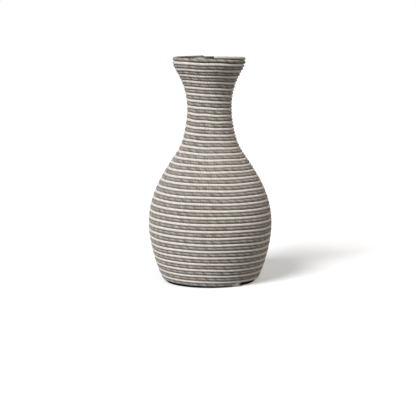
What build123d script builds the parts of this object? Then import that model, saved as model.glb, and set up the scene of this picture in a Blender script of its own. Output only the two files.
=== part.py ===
"""Bottle-shaped stoneware vase, closely wound with two cords from the lip to the foot.

The thrown core is a hollow bottle. A coat of glue covers its outside, and a cream cord and a grey cord
lie on it side by side as a two-start helix. A soft black pad is stuck under the foot.

Millimetres, +Z up. The origin is the centre of the underside, and -Y is the front.
"""
from build123d import *
import math
import os

# Core: the sizes of the outer wall, from the lip down to the foot.
lip_radius, lip_height = 38.6, 270.0
rim_radius, rim_drop = 39.6, 4.1
neck_radius, neck_drop = 22.7, 59.3
belly_radius, belly_height = 70.3, 70.9
foot_radius, heel_height = 54.0, 2.6
lip_slope = 30.0
foot_slope = -25.0
lip_rise = 1.0
wall = 4.6
heel_fillet = 0.8
well_fillet = 12.0

# The wall's curves: stations between those, as shares of the way down and of the way out or in.
rim_to_neck = [(0.1576, 0.1834), (0.3931, 0.5858)]
neck_to_belly = [(0.2046, 0.0630), (0.3519, 0.1975), (0.4592, 0.3950), (0.5737, 0.6071), (0.7639, 0.8782)]
belly_to_foot = [(0.5171, 0.2945)]

# Coat of glue over the whole outer wall.
glue_thickness = 0.3

# Cords: two of them side by side, so one turn of either moves on by two spacings.
cord_names = ("cord_cream", "cord_grey")
cord_diameter = 3.88
turn_gap = 0.092
cord_spacing = cord_diameter + turn_gap
cord_gap = 0.1
cord_start = 1.6
cord_finish = 0.6
lean = 0.42
cord_start_angle = 8.0
arcs_per_turn = 12

# How much higher than the helix each cord runs near its start: turns made, and the rise there.
start_rises = {
    "cord_cream": [(0, 0.9), (0.5, 0)],
    "cord_grey": [(0, 0), (0.5, 0.5), (1, 0)],
}

# Pad under the foot, cut a little larger than it.
pad_reach = 0.2
pad_radius = foot_radius + pad_reach
pad_thickness = 1.2
pad_chamfer = 0.3


def polar(radius, height):
    """A point of the half section, which is drawn in the XZ plane."""
    return Vector(radius, 0, height)


def between(start, end, shares):
    """Stations between two others, from their shares of the way down and of the way across."""
    stations = []
    for down, across in shares:
        radius = start.X + (end.X - start.X) * across
        height = start.Z + (end.Z - start.Z) * down
        stations.append(polar(radius, height))
    return stations


def outer_wall():
    """The outer wall's line, from the lip down to the foot."""
    lip = polar(lip_radius, lip_height)
    rim = polar(rim_radius, lip_height - rim_drop)
    neck = polar(neck_radius, lip_height - neck_drop)
    belly = polar(belly_radius, belly_height)
    foot = polar(foot_radius, pad_thickness + heel_height)
    stations = [lip, rim, *between(rim, neck, rim_to_neck)]
    stations += [neck, *between(neck, belly, neck_to_belly)]
    stations += [belly, *between(belly, foot, belly_to_foot), foot]
    slopes = [math.radians(lip_slope), math.radians(foot_slope)]
    ends = [polar(math.sin(slope), -math.cos(slope)) for slope in slopes]
    return Edge.make_spline(stations, tangents=ends, scale=False)


def beside(line, distance, samples=60):
    """The line that runs beside another at an even distance, outwards if positive."""
    points = []
    for index in range(samples + 1):
        share = index / samples
        along = line.tangent_at(share)
        outwards = Vector(-along.Z, 0, along.X)
        points.append(line.position_at(share) + outwards * distance)
    return Edge.make_spline(points)


def spin(edges):
    """The solid that a closed half section makes when it turns about the axis."""
    return Solid.revolve(Face(Wire(edges)), 360, Axis.Z)


def circles_at(solid, radius, height):
    """The solid's round edges at one radius and height."""
    near = 0.01
    found = []
    for edge in solid.edges().filter_by(GeomType.CIRCLE):
        if abs(edge.radius - radius) < near and abs(edge.arc_center.Z - height) < near:
            found.append(edge)
    return found


def make_vessel(outside):
    """The hollow core: a round lip, an even wall and a flat underside that sits on the pad."""
    inside = beside(outside, -wall)
    lip, lip_inside = outside @ 0, inside @ 0
    foot, foot_inside = outside @ 1, inside @ 1
    lip_crown = (lip + lip_inside) / 2 - (outside % 0) * lip_rise
    down = outside % 1
    heel = foot + down * ((pad_thickness - foot.Z) / down.Z)
    underside_centre = polar(0, pad_thickness)
    floor_centre = polar(0, foot_inside.Z)
    vessel = spin([
        outside,
        Edge.make_line(foot, heel),
        Edge.make_line(heel, underside_centre),
        Edge.make_line(underside_centre, floor_centre),
        Edge.make_line(floor_centre, foot_inside),
        inside,
        Edge.make_three_point_arc(lip_inside, lip_crown, lip),
    ])
    vessel = vessel.fillet(well_fillet, circles_at(vessel, foot_inside.X, foot_inside.Z))
    return vessel.fillet(heel_fillet, circles_at(vessel, heel.X, heel.Z))


def make_glue_coat(outside):
    """The thin coat between the core and the cords."""
    surface = beside(outside, glue_thickness)
    return spin([
        outside,
        Edge.make_line(outside @ 1, surface @ 1),
        surface,
        Edge.make_line(surface @ 0, outside @ 0),
    ])


def make_base_pad():
    """The soft disc under the foot."""
    pad = Solid.make_cylinder(pad_radius, pad_thickness)
    return pad.chamfer(pad_chamfer, None, circles_at(pad, pad_radius, 0))


def rise_at(turns, rises):
    """The rise after some turns, eased between the two nearest entries."""
    for (before, low), (after, high) in zip(rises, rises[1:]):
        if turns < after:
            share = (turns - before) / (after - before)
            return low + (high - low) * (1 - math.cos(math.pi * share)) / 2
    return rises[-1][1]


def cord_route(centre_line, start_angle, rises):
    """The cord's centre line in space, as a function of the turns that it has made.

    Every turn leans a little down to the right.
    """
    def place(turns):
        angle = math.radians(start_angle + 360 * turns)
        helix = cord_start + turns * len(cord_names) * cord_spacing
        down = helix + lean * math.sin(angle) - rise_at(turns, rises)
        spot = centre_line.position_at(down, position_mode=PositionMode.LENGTH)
        return Vector(spot.X * math.sin(angle), -spot.X * math.cos(angle), spot.Z)
    return place


def make_cord(place, turns):
    """A round cord on its route, made of short arcs that each leave along the one before."""
    arcs = math.ceil(turns * arcs_per_turn)
    points = [place(turns * index / arcs) for index in range(arcs + 1)]
    tangent = (place(0.001) - points[0]).normalized()
    end = Face(Wire.make_circle(cord_diameter / 2, Plane(points[0], z_dir=tangent)))
    skin = [end]
    for here, there in zip(points, points[1:]):
        chord = there - here
        aim = chord.normalized()
        turning = tangent.cross(aim)
        half_bend = math.asin(turning.length)
        centre = here + turning.normalized().cross(tangent) * (chord.length / 2 / turning.length)
        hinge = Axis(centre, turning)
        bend = math.degrees(2 * half_bend)
        length = Solid.revolve(end, bend, hinge)
        skin += [face for face in length.faces() if face.geom_type != GeomType.PLANE]
        end = end.rotate(hinge, bend)
        tangent = aim * (2 * tangent.dot(aim)) - tangent
    skin.append(end)
    return Solid(Shell(skin))


outside = outer_wall()
centre_line = beside(outside, glue_thickness + cord_gap + cord_diameter / 2)
wound_length = centre_line.length - cord_start - cord_finish
turns = wound_length / (len(cord_names) * cord_spacing)

nodes = {
    "vessel": make_vessel(outside),
    "glue_coat": make_glue_coat(outside),
    "base_pad": make_base_pad(),
}
for index, name in enumerate(cord_names):
    start_angle = cord_start_angle + index * 360 / len(cord_names)
    nodes[name] = make_cord(cord_route(centre_line, start_angle, start_rises[name]), turns)

os.makedirs("parts", exist_ok=True)
for name, solid in nodes.items():
    export_step(solid, os.path.join("parts", name + ".step"))
print("turns of each cord", round(turns, 3))
for name in cord_names:
    section = math.pi * cord_diameter**2 / 4
    print(name, "length", round(nodes[name].volume / section, 1))
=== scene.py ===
"""Looks of the cord-wound bottle vase, built around its CAD frame. Metres, +Z up, -Y to the front."""
import math

import bpy
import numpy as np
from mathutils import Matrix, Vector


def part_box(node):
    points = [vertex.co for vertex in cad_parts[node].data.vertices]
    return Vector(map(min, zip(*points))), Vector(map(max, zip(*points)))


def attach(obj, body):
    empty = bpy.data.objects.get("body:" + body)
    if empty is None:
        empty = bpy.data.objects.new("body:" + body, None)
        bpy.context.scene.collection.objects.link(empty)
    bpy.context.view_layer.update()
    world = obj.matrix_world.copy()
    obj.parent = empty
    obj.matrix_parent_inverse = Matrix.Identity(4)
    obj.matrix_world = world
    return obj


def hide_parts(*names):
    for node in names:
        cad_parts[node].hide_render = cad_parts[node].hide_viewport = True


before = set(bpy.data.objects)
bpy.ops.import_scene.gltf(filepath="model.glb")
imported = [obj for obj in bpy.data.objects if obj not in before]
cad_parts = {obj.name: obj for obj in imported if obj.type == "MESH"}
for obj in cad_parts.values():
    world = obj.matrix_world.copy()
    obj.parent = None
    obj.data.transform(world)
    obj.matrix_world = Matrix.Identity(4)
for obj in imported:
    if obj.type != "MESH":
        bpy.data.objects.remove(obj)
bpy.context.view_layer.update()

MM = 0.001

# Cords, as the CAD model winds them.
CORD_DIAMETER = 3.88 * MM
CORD_SPACING = 3.972 * MM
CORD_GAP = 0.1 * MM
CORD_START = 1.6 * MM
CORD_FINISH = 0.6 * MM
LEAN = 0.42 * MM
START_ANGLES = {"cord_cream": 8.0, "cord_grey": 188.0}
START_RISES = {
    "cord_cream": ([0, 0.5], [0.9 * MM, 0]),
    "cord_grey": ([0, 0.5, 1], [0, 0.5 * MM, 0]),
}

# Wall line, read from the glue coat: the least that its outer faces point outwards, from 0 to 1,
# the step, and the steps on either side that each normal is averaged over.
LEAST_OUTWARD = 0.6
LINE_STEP = 0.4 * MM
LINE_SMOOTHING = 5

# Twist: three plies, and the length in which they go round once. The crown is the outer part of a
# ply, CROWN_HALF_WIDTH degrees to either side, and a valley lies between two plies. A cord's ends
# are rounded, and END_SHARPEST keeps them from closing to a point.
PLIES = 3
LAY = 10.8 * MM
CROWN_RADIUS = 2.02 * MM
CROWN_HALF_WIDTH = 20.0
VALLEY_SHARE = 0.76
RING_STEP = 1.0 * MM
SAMPLES_PER_TURN = 240
END_ROUNDING = 1.6 * MM
END_SHARPEST = 0.02

# Unevenness of handwork: how far the turns wander along the wall and stand off it, and by what
# share the cord's thickness changes. THICKNESS_LENGTH sets how fast it changes along the cord.
WAVE_HEIGHT = 45 * MM
WAVE_SHARE = 0.7
WANDER = 0.30 * MM
WANDER_SEED = 3
LIFT = 0.16 * MM
THICKNESS_CHANGE = 0.035
THICKNESS_LENGTH = 19 * MM
THICKNESS_SEED = 50

# Frayed ends: how many yarns come loose, how deep in the cord they start, how far they reach and
# the lowest that they hang. The ranges are shares of FRAY_LENGTH and of a yarn's own reach.
YARNS = {"cord_cream": 22, "cord_grey": 34}
FRAY_DEPTH = 2.0 * MM
FRAY_LENGTH = 12.0 * MM
FRAY_SPREAD = 0.75
LOWEST = 0.7 * MM
REACHES = (0.4, 1.0)
SIDEWAYS = (0.05, 0.3)
OUTWARDS = (0.0, 0.15)
YARN_RADII = (0.28 * MM, 0.55 * MM)
YARN_SIDES = 5

# A loose yarn's stations: shares of its reach, of its bend and of its radius.
YARN_SHAPE = [(0, 0, 1), (0.4, 0, 1), (0.75, 0.4, 0.85), (1, 1, 0.3)]

# Maps: the Twine map has a unit for each 10 mm, and the OFBake map has margins round each turn.
TWINE_MAP_SCALE = 100
BAKE_LEFT = 0.004
BAKE_WIDTH = 0.988
BAKE_MARGIN = 0.06

# Pad: the radius of its worn edge, and how far its underside is hollow, from the centre outwards.
PAD_EDGE = 0.7 * MM
PAD_HOLLOW = [(0, 0.12 * MM), (0.5, 0.05 * MM)]
PAD_EDGE_STEPS = 6
PAD_SEGMENTS = 160

# Floor: its side, the white and the glow that the camera sees, and the share of light that it
# returns to the vase.
FLOOR_SIZE = 60.0
FLOOR_SEEN = 0.90
FLOOR_GLOW = 0.26
FLOOR_RETURN = 0.22

# Sky: the strength that lights the vase, and the strength that shows behind it.
SKY_LIGHT = 0.20
SKY_SEEN = 1.0

# Soft lights: azimuth, elevation, strength, the angle that each fills, and colour.
LIGHTS = {
    "key": (-37.0, 40.0, 3.40, 26.0, (1.0, 1.0, 1.0)),
    "fill": (80.0, 32.0, 0.85, 50.0, (1.0, 0.91, 0.82)),
}

# Camera: metres from the axis, above the floor and to the right, degrees down and round, and lens.
CAMERA_DISTANCE = 1.5307
CAMERA_HEIGHT = 0.2959
CAMERA_ASIDE = -0.0025
CAMERA_TILT = 7.735
CAMERA_ROLL = -0.42
LENS = 110.2


def numbers(items, field, width, kind=np.float64):
    """One field of all of a mesh's items, as an array."""
    found = np.empty(len(items) * width, kind)
    items.foreach_get(field, found)
    return found.reshape(-1, width)


def even_line(radius, height, step):
    """A line of radius and height, resampled at even steps along its length."""
    along = np.concatenate([[0], np.cumsum(np.hypot(np.diff(radius), np.diff(height)))])
    places = np.linspace(0, along[-1], int(along[-1] / step) + 1)
    return np.interp(places, along, radius), np.interp(places, along, height)


def outwards_of(radius, height):
    """The unit normals of a line that runs down the wall, pointing away from the axis."""
    across, upwards = np.gradient(radius), np.gradient(height)
    size = np.hypot(across, upwards)
    return -upwards / size, across / size


def averaged(values):
    """Each value averaged with its neighbours, with the end values carried on past the ends."""
    kernel = np.ones(2 * LINE_SMOOTHING + 1) / (2 * LINE_SMOOTHING + 1)
    return np.convolve(np.pad(values, LINE_SMOOTHING, "edge"), kernel, "valid")


def cord_line():
    """Where the cords' centres lie: distance, radius, height and normal, down from the lip."""
    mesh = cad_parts["glue_coat"].data
    places = numbers(mesh.vertices, "co", 3)
    corners = numbers(mesh.loops, "vertex_index", 1, np.int32).reshape(-1, 3)
    normals = numbers(mesh.polygons, "normal", 3)
    middles = places[corners].mean(1)
    facing = (normals[:, :2] * middles[:, :2]).sum(1) / np.hypot(middles[:, 0], middles[:, 1])
    outer = places[np.unique(corners[facing > LEAST_OUTWARD])]
    outer = outer[np.argsort(-outer[:, 2])]
    radius, height = np.hypot(outer[:, 0], outer[:, 1]), outer[:, 2]
    radius, height = even_line(radius, height, LINE_STEP)
    normal_r, normal_z = (averaged(part) for part in outwards_of(radius, height))
    offset = CORD_GAP + CORD_DIAMETER / 2
    radius, height = radius + normal_r * offset, height + normal_z * offset
    along = np.concatenate([[0], np.cumsum(np.hypot(np.diff(radius), np.diff(height)))])
    return along, radius, height, normal_r, normal_z


LINE = cord_line()
TURNS = (LINE[0][-1] - CORD_START - CORD_FINISH) / (len(START_ANGLES) * CORD_SPACING)


def waves(seed, around, down, count, finest):
    """Gentle unevenness over the wall, mostly from -1 to 1, that closes on itself around the vase."""
    random = np.random.default_rng(seed)
    total = np.zeros_like(around)
    for _ in range(count):
        times = random.integers(1, finest + 1)
        slope = random.uniform(-1, 1) * 2 * math.pi / WAVE_HEIGHT
        total += np.sin(times * around + slope * down + random.uniform(0, 2 * math.pi))
    return total / math.sqrt(count) * WAVE_SHARE


def eased(places, stations, values):
    """Values at places, eased between the two nearest stations."""
    places = np.clip(places, stations[0], stations[-1])
    last = len(stations) - 2
    before = np.clip(np.searchsorted(stations, places, "right") - 1, 0, last)
    stations, values = np.array(stations), np.array(values)
    share = (places - stations[before]) / (stations[before + 1] - stations[before])
    return values[before] + (values[before + 1] - values[before]) * (1 - np.cos(math.pi * share)) / 2


def rings_of(name, seed):
    """Even steps along a cord, and the turns made, centre, tangent and outward normal at each."""
    turns = np.linspace(0, TURNS, int(TURNS * SAMPLES_PER_TURN))
    around = math.radians(START_ANGLES[name]) + 2 * math.pi * turns
    down = CORD_START + turns * len(START_ANGLES) * CORD_SPACING
    down = down + LEAN * np.sin(around) - eased(turns, *START_RISES[name])
    away_from_ends = np.clip(np.minimum(turns, TURNS - turns), 0, 1)
    down = down + WANDER * away_from_ends * waves(WANDER_SEED, around, down, count=9, finest=7)
    along, line_r, line_z, line_nr, line_nz = LINE
    lift = LIFT * away_from_ends * (waves(seed, around, down, count=8, finest=9) * 0.5 + 0.5)
    normal_r, normal_z = np.interp(down, along, line_nr), np.interp(down, along, line_nz)
    radius = np.interp(down, along, line_r) + normal_r * lift
    height = np.interp(down, along, line_z) + normal_z * lift
    sine, cosine = np.sin(around), -np.cos(around)
    centres = np.stack([radius * sine, radius * cosine, height], 1)
    normals = np.stack([normal_r * sine, normal_r * cosine, normal_z], 1)
    length = np.concatenate([[0], np.cumsum(np.linalg.norm(np.diff(centres, axis=0), axis=1))])
    steps = np.linspace(0, length[-1], int(length[-1] / RING_STEP) + 1)
    centres = np.stack([np.interp(steps, length, column) for column in centres.T], 1)
    normals = np.stack([np.interp(steps, length, column) for column in normals.T], 1)
    tangents = np.gradient(centres, axis=0)
    tangents /= np.linalg.norm(tangents, axis=1)[:, None]
    return steps, np.interp(steps, length, turns), centres, tangents, normals


def star():
    """Angles and radii of one ring's corners: a valley and two crown corners for each ply."""
    angles, radii = [], []
    for ply in range(PLIES):
        middle = (ply + 0.5) * 360 / PLIES
        angles += [ply * 360 / PLIES, middle - CROWN_HALF_WIDTH, middle + CROWN_HALF_WIDTH]
        radii += [VALLEY_SHARE, 1.0, 1.0]
    return np.radians(angles), np.array(radii) * CROWN_RADIUS


def mesh_object(name, verts, faces):
    """A smooth-shaded mesh object in the scene, from its corners and faces."""
    mesh = bpy.data.meshes.new(name)
    mesh.from_pydata(verts, [], faces)
    mesh.validate()
    mesh.shade_smooth()
    piece = bpy.data.objects.new(name, mesh)
    bpy.context.scene.collection.objects.link(piece)
    return piece


def tube_faces(rings, sides):
    """The faces of a closed tube whose corners lie ring after ring: its sides, then its two ends."""
    ring, side = np.meshgrid(np.arange(rings - 1), np.arange(sides), indexing="ij")
    after = (side + 1) % sides
    here, there = ring * sides, (ring + 1) * sides
    quads = np.stack([here + side, here + after, there + after, there + side], -1)
    last = (rings - 1) * sides
    ends = [list(range(sides))[::-1], list(range(last, last + sides))]
    return quads.reshape(-1, 4).tolist() + ends


def tube(points, radii, sides):
    """Corners and faces of a thin tube along a few points, closed at both ends."""
    points = np.asarray(points)
    along = np.gradient(points, axis=0)
    along /= np.linalg.norm(along, axis=1)[:, None]
    aside = np.cross(along, [0.3, 0.2, 0.93])
    aside /= np.linalg.norm(aside, axis=1)[:, None]
    other = np.cross(along, aside)
    angles = np.arange(sides) * 2 * math.pi / sides
    reach = np.asarray(radii)[:, None, None]
    spokes = np.cos(angles)[None, :, None] * aside[:, None] + np.sin(angles)[None, :, None] * other[:, None]
    verts = (points[:, None] + spokes * reach).reshape(-1, 3)
    return verts, tube_faces(len(points), sides)


def frayed_end(centre, ahead, outward, seed, count):
    """Short loose yarns that fan out of a cut cord end."""
    random = np.random.default_rng(seed)
    across = np.cross(ahead, outward)
    verts, faces = [], []
    for _ in range(count):
        turn = random.uniform(0, 2 * math.pi)
        off = math.sqrt(random.uniform(0, 1)) * FRAY_SPREAD * CROWN_RADIUS
        side = math.cos(turn) * outward + math.sin(turn) * across
        root = centre + side * off - ahead * FRAY_DEPTH
        reach = random.uniform(*REACHES) * FRAY_LENGTH
        bend = side * random.uniform(*SIDEWAYS) * reach
        bend += outward * random.uniform(*OUTWARDS) * reach
        bend[2] = max(bend[2], LOWEST - root[2] - ahead[2] * reach)
        radius = random.uniform(*YARN_RADII)
        points = [root + ahead * reach * along + bend * bent for along, bent, _ in YARN_SHAPE]
        radii = [radius * taper for _, _, taper in YARN_SHAPE]
        yarn, yarn_faces = tube(points, radii, YARN_SIDES)
        faces += [[corner + len(verts) for corner in face] for face in yarn_faces]
        verts += list(yarn)
    return np.array(verts), faces


def twisted_cord(name, seed, material, loose_material):
    """One cord from the lip to the foot: three plies that wind round each other."""
    steps, turns, centres, tangents, normals = rings_of(name, seed)
    across = np.cross(tangents, normals)
    across /= np.linalg.norm(across, axis=1)[:, None]
    normals = np.cross(across, tangents)
    angles, radii = star()
    sides = len(angles)
    twist = 2 * math.pi * steps / LAY
    level = np.zeros_like(steps)
    uneven = waves(seed + THICKNESS_SEED, steps / THICKNESS_LENGTH, level, count=7, finest=5)
    thick = 1 + THICKNESS_CHANGE * uneven
    to_end = np.minimum(steps, steps[-1] - steps)
    thick *= np.sqrt(1 - (1 - np.clip(to_end / END_ROUNDING, END_SHARPEST, 1)) ** 2)
    facing = twist[:, None] + angles[None, :]
    reach = radii[None, :] * thick[:, None]
    verts = centres[:, None] + (reach * np.cos(facing))[:, :, None] * normals[:, None]
    verts = verts + (reach * np.sin(facing))[:, :, None] * across[:, None]
    verts = verts.reshape(-1, 3)
    faces = tube_faces(len(steps), sides)
    loose, loose_faces = frayed_end(centres[-1], tangents[-1], normals[-1], seed, YARNS[name])
    faces += [[corner + len(verts) for corner in face] for face in loose_faces]
    piece = mesh_object(name + "_twine", np.concatenate([verts, loose]), faces)
    wear(piece, material, loose_material)
    kinds = np.zeros(len(piece.data.polygons), np.int32)
    kinds[-len(loose_faces):] = 1
    piece.data.polygons.foreach_set("material_index", kinds)
    lay_maps(piece.data, steps, turns, sides)
    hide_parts(name)
    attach(piece, "root")
    return piece


def lay_maps(mesh, steps, turns, sides):
    """Two maps: Twine follows the plies, and OFBake lays each turn of the cord in a row of its own.

    The cord's ends and loose yarns, which come after its sides, lie in a zigzag in OFBake's last row.
    """
    rings = np.arange(len(steps) - 1)
    ring, side = (part.ravel() for part in np.meshgrid(rings, np.arange(sides), indexing="ij"))
    corner_ring = np.stack([ring, ring, ring + 1, ring + 1], 1)
    corner_side = np.stack([side, side + 1, side + 1, side], 1)
    laid = corner_ring.size
    twine = mesh.uv_layers.new(name="Twine")
    places = np.zeros((len(mesh.loops), 2), np.float32)
    places[:laid, 0] = (steps[corner_ring] * TWINE_MAP_SCALE).ravel()
    places[:laid, 1] = (corner_side / sides).ravel()
    twine.uv.foreach_set("vector", places.ravel())
    rows = math.ceil(TURNS) + 1
    row = np.floor(turns[ring])[:, None]
    up_the_row = BAKE_MARGIN + (1 - 2 * BAKE_MARGIN) * corner_side / sides
    tail = len(mesh.loops) - laid
    places[:laid, 0] = (BAKE_LEFT + BAKE_WIDTH * (turns[corner_ring] - row)).ravel()
    places[:laid, 1] = ((row + up_the_row) / rows).ravel()
    places[laid:, 0] = 0.02 + 0.9 * np.linspace(0, 1, tail)
    places[laid:, 1] = (rows - 0.5 + 0.3 * np.sin(np.arange(tail) * 2.1)) / rows
    bake = mesh.uv_layers.new(name="OFBake")
    bake.uv.foreach_set("vector", places.ravel())
    mesh.uv_layers.active = twine


def new_material(name, roughness, base=None):
    """A material with only a shader, and its node tree."""
    material = bpy.data.materials.new(name)
    material.use_nodes = True
    tree = material.node_tree
    shader = tree.nodes["Principled BSDF"]
    shader.inputs["Roughness"].default_value = roughness
    if base:
        shader.inputs["Base Color"].default_value = (*base, 1)
    return material, tree, shader


def noise(tree, vector, scale, detail=2.0, roughness=0.5):
    """A noise texture on a vector socket, giving its Fac socket."""
    node = tree.nodes.new("ShaderNodeTexNoise")
    node.inputs["Scale"].default_value = scale
    node.inputs["Detail"].default_value = detail
    node.inputs["Roughness"].default_value = roughness
    tree.links.new(vector, node.inputs["Vector"])
    return node.outputs["Fac"]


def stretched(tree, vector, scale, turn=0.0):
    """A vector socket scaled on each axis, then turned about its third."""
    mapping = tree.nodes.new("ShaderNodeMapping")
    mapping.inputs["Scale"].default_value = scale
    mapping.inputs["Rotation"].default_value = (0, 0, turn)
    tree.links.new(vector, mapping.inputs["Vector"])
    return mapping.outputs["Vector"]


def ramp(tree, fac, stops, interpolation="LINEAR"):
    """A colour ramp on a value socket."""
    node = tree.nodes.new("ShaderNodeValToRGB")
    node.color_ramp.interpolation = interpolation
    elements = node.color_ramp.elements
    while len(elements) < len(stops):
        elements.new(0.5)
    for element, (position, colour) in zip(elements, stops):
        element.position = position
        element.color = (*colour, 1)
    tree.links.new(fac, node.inputs["Fac"])
    return node.outputs["Color"]


def multiplied(tree, first, second):
    """The product of two colour sockets."""
    node = tree.nodes.new("ShaderNodeMix")
    node.data_type = "RGBA"
    node.blend_type = "MULTIPLY"
    node.inputs["Factor"].default_value = 1.0
    first_colour, second_colour = (socket for socket in node.inputs if socket.type == "RGBA")
    tree.links.new(first, first_colour)
    tree.links.new(second, second_colour)
    return next(socket for socket in node.outputs if socket.type == "RGBA")


def bump(tree, shader, height, distance):
    """Bump from a value socket, on the shader's normal."""
    node = tree.nodes.new("ShaderNodeBump")
    node.inputs["Distance"].default_value = distance
    tree.links.new(height, node.inputs["Height"])
    tree.links.new(node.outputs["Normal"], shader.inputs["Normal"])


def grey(level):
    """A neutral colour."""
    return (level, level, level)


def twine_material(name, colour, ply_tones, marl):
    """Twisted twine: fibres along the plies, one tone for each ply, and slow changes along the cord."""
    material, tree, shader = new_material(name, 0.88)
    shader.inputs["Sheen Weight"].default_value = 0.25
    shader.inputs["Sheen Roughness"].default_value = 0.6
    shader.inputs["Specular IOR Level"].default_value = 0.25
    uv = tree.nodes.new("ShaderNodeUVMap")
    uv.uv_map = "Twine"
    place = uv.outputs["UV"]
    split = tree.nodes.new("ShaderNodeSeparateXYZ")
    tree.links.new(place, split.inputs["Vector"])
    stops = [(ply / PLIES, [tone * part for part in colour]) for ply, tone in enumerate(ply_tones)]
    plies = ramp(tree, split.outputs["Y"], stops, "CONSTANT")
    slow = noise(tree, stretched(tree, place, (0.9, 1.6, 1)), scale=1.0, detail=3.0, roughness=0.6)
    along_plies = stretched(tree, place, (3.0, 46.0, 1), turn=0.5)
    fibres = noise(tree, along_plies, scale=1.0, detail=3.0, roughness=0.7)
    shade = ramp(tree, fibres, [(0.25, grey(0.72)), (0.75, grey(1.18))])
    marled = multiplied(tree, plies, ramp(tree, slow, marl))
    tree.links.new(multiplied(tree, marled, shade), shader.inputs["Base Color"])
    bump(tree, shader, fibres, 0.25 * MM)
    return material


def stoneware_material():
    """Dark, nearly matt slip glaze with fine speckle."""
    material, tree, shader = new_material("stoneware_dark_slip", 0.42)
    place = tree.nodes.new("ShaderNodeTexCoord").outputs["Object"]
    cloud = noise(tree, place, scale=38.0, detail=5.0, roughness=0.6)
    colour = ramp(tree, cloud, [(0.3, (0.022, 0.019, 0.017)), (0.7, (0.060, 0.050, 0.043))])
    speck = noise(tree, place, scale=900.0, detail=1.0)
    specks = ramp(tree, speck, [(0.66, grey(1.0)), (0.72, grey(2.2))])
    tree.links.new(multiplied(tree, colour, specks), shader.inputs["Base Color"])
    bump(tree, shader, noise(tree, place, scale=160.0, detail=3.0), 0.25 * MM)
    return material


def glue_and_gap_shade_material():
    """Dried glue over the dark core: brown-black and slightly glossy. Its dark colour also serves as
    painted shade in the gaps between the cord turns.
    """
    material, tree, shader = new_material("dried_glue_and_gap_shade", 0.35)
    place = tree.nodes.new("ShaderNodeTexCoord").outputs["Object"]
    film = noise(tree, place, scale=120.0, detail=4.0)
    # Brown-black film colour, which also paints the shade in the gaps between the cord turns.
    colour = ramp(tree, film, [(0.3, (0.030, 0.025, 0.020)), (0.75, (0.085, 0.070, 0.055))])
    tree.links.new(colour, shader.inputs["Base Color"])
    bump(tree, shader, film, 0.2 * MM)
    return material


def pad_material():
    """Black foam felt, quite matt."""
    material, tree, shader = new_material("black_pad", 0.95)
    shader.inputs["Specular IOR Level"].default_value = 0.2
    place = tree.nodes.new("ShaderNodeTexCoord").outputs["Object"]
    nap = noise(tree, place, scale=1400.0, detail=3.0, roughness=0.7)
    colour = ramp(tree, nap, [(0.3, grey(0.008)), (0.7, grey(0.030))])
    tree.links.new(colour, shader.inputs["Base Color"])
    bump(tree, shader, nap, 0.15 * MM)
    return material


def lathe(name, profile, segments):
    """A closed turned piece: a profile of radius and height that starts and ends on the axis."""
    inner = profile[1:-1]
    verts = [(0, 0, profile[0][1]), (0, 0, profile[-1][1])]
    for step in range(segments):
        angle = 2 * math.pi * step / segments
        verts += [(radius * math.cos(angle), radius * math.sin(angle), height) for radius, height in inner]
    count = len(inner)
    faces = []
    for step in range(segments):
        here, there = 2 + step * count, 2 + (step + 1) % segments * count
        faces.append((0, there, here))
        faces += [(here + k, there + k, there + k + 1, here + k + 1) for k in range(count - 1)]
        faces.append((1, here + count - 1, there + count - 1))
    return mesh_object(name, verts, faces)


def base_pad():
    """The pad under the foot, with its die-cut edge rounded by wear."""
    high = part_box("base_pad")[1]
    radius, top = high.x, high.z
    flat_radius = radius - 3 * PAD_EDGE
    profile = [(radius * share, height) for share, height in PAD_HOLLOW]
    profile.append((flat_radius, 0))
    for step in range(PAD_EDGE_STEPS + 1):
        angle = math.radians(-90 + 180 * step / PAD_EDGE_STEPS)
        middle = PAD_EDGE if angle < 0 else top - PAD_EDGE
        reach = radius - PAD_EDGE + PAD_EDGE * math.cos(angle)
        profile.append((reach, middle + PAD_EDGE * math.sin(angle)))
    profile += [(flat_radius, top), (0, top)]
    piece = lathe("felt_base_pad", profile, PAD_SEGMENTS)
    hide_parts("base_pad")
    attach(piece, "root")
    return piece


def floor_material():
    """White sweep that returns less light to the vase than it shows, as a floor further below would."""
    material, tree, shader = new_material("pale_floor", 0.7, grey(FLOOR_SEEN))
    shader.inputs["Emission Color"].default_value = (1, 1, 1, 1)
    shader.inputs["Emission Strength"].default_value = FLOOR_GLOW
    returned = tree.nodes.new("ShaderNodeBsdfDiffuse")
    returned.inputs["Color"].default_value = (*grey(FLOOR_RETURN), 1)
    choice = tree.nodes.new("ShaderNodeMixShader")
    tree.links.new(tree.nodes.new("ShaderNodeLightPath").outputs["Is Camera Ray"], choice.inputs["Fac"])
    tree.links.new(returned.outputs[0], choice.inputs[1])
    tree.links.new(shader.outputs[0], choice.inputs[2])
    tree.links.new(choice.outputs[0], tree.nodes["Material Output"].inputs["Surface"])
    return material


def loose_material(name, dark, light):
    """Separate yarns of a frayed end: lighter and darker ones."""
    material, tree, shader = new_material(name, 0.9)
    shader.inputs["Sheen Weight"].default_value = 0.3
    place = tree.nodes.new("ShaderNodeTexCoord").outputs["Object"]
    colour = ramp(tree, noise(tree, place, scale=700.0), [(0.4, dark), (0.6, light)])
    tree.links.new(colour, shader.inputs["Base Color"])
    return material


def wear(piece, *materials):
    """Gives a piece its materials in place of what it had."""
    piece.data.materials.clear()
    for material in materials:
        piece.data.materials.append(material)


def pale_floor():
    """The floor that the vase stands on, out of the part itself."""
    bpy.ops.mesh.primitive_plane_add(size=FLOOR_SIZE)
    floor = bpy.context.object
    floor.name = "floor"
    wear(floor, floor_material())


def soft_light(name, azimuth, elevation, strength, softness, tint):
    """A sun that fills a wide angle. Azimuth 0 is the front, and it grows to the right."""
    sun = bpy.data.lights.new(name, "SUN")
    sun.energy = strength
    sun.color = tint
    sun.angle = math.radians(softness)
    lamp = bpy.data.objects.new(name, sun)
    lamp.rotation_euler = (math.radians(90 - elevation), 0, math.radians(azimuth))
    bpy.context.scene.collection.objects.link(lamp)


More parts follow.
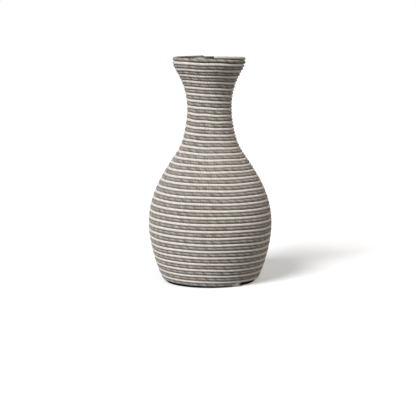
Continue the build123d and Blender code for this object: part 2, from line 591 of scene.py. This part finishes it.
def white_sky():
    """A white sky that shows brighter behind the vase than it lights it."""
    world = bpy.data.worlds.new("studio")
    bpy.context.scene.world = world
    world.use_nodes = True
    nodes = world.node_tree.nodes
    links = world.node_tree.links
    lit = nodes["Background"]
    seen = nodes.new("ShaderNodeBackground")
    for background, strength in ((lit, SKY_LIGHT), (seen, SKY_SEEN)):
        background.inputs["Color"].default_value = (1, 1, 1, 1)
        background.inputs["Strength"].default_value = strength
    choice = nodes.new("ShaderNodeMixShader")
    links.new(nodes.new("ShaderNodeLightPath").outputs["Is Camera Ray"], choice.inputs["Fac"])
    links.new(lit.outputs[0], choice.inputs[1])
    links.new(seen.outputs[0], choice.inputs[2])
    links.new(choice.outputs[0], nodes["World Output"].inputs["Surface"])


def front_camera():
    """The camera, in front of the vase and a little above it, looking down."""
    lens = bpy.data.cameras.new("camera")
    lens.lens = LENS
    lens.clip_end = 2 * FLOOR_SIZE
    camera = bpy.data.objects.new("camera", lens)
    place = Matrix.Translation((CAMERA_ASIDE, -CAMERA_DISTANCE, CAMERA_HEIGHT))
    tilt = Matrix.Rotation(math.radians(90 - CAMERA_TILT), 4, "X")
    roll = Matrix.Rotation(math.radians(CAMERA_ROLL), 4, "Z")
    camera.matrix_world = place @ tilt @ roll
    bpy.context.scene.collection.objects.link(camera)
    return camera


cream_twine = twine_material(
    "cream_twine",
    colour=(0.82, 0.74, 0.67),
    ply_tones=[1.0, 0.94, 1.04],
    marl=[(0.3, (0.93, 0.92, 0.91)), (0.7, (1.04, 1.04, 1.05))])
grey_twine = twine_material(
    "grey_twine",
    colour=(0.36, 0.345, 0.315),
    ply_tones=[1.05, 0.72, 1.15],
    marl=[(0.32, (0.66, 0.60, 0.54)), (0.68, (1.15, 1.19, 1.19))])
cream_yarns = loose_material("cream_yarns", dark=(0.62, 0.55, 0.47), light=(0.85, 0.80, 0.73))
grey_yarns = loose_material("grey_yarns", dark=(0.30, 0.28, 0.26), light=(0.80, 0.78, 0.74))
cream = twisted_cord("cord_cream", 11, cream_twine, cream_yarns)
grey_cord = twisted_cord("cord_grey", 23, grey_twine, grey_yarns)
pad = base_pad()
wear(pad, pad_material())
wear(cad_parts["vessel"], stoneware_material())
# The glue coat's dark colour is partly painted shade, filling the gaps between the cord turns.
wear(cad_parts["glue_coat"], glue_and_gap_shade_material())

pale_floor()
for name, light in LIGHTS.items():
    soft_light(name, *light)
white_sky()
bpy.context.scene.camera = front_camera()
bpy.context.scene.view_settings.view_transform = "Standard"
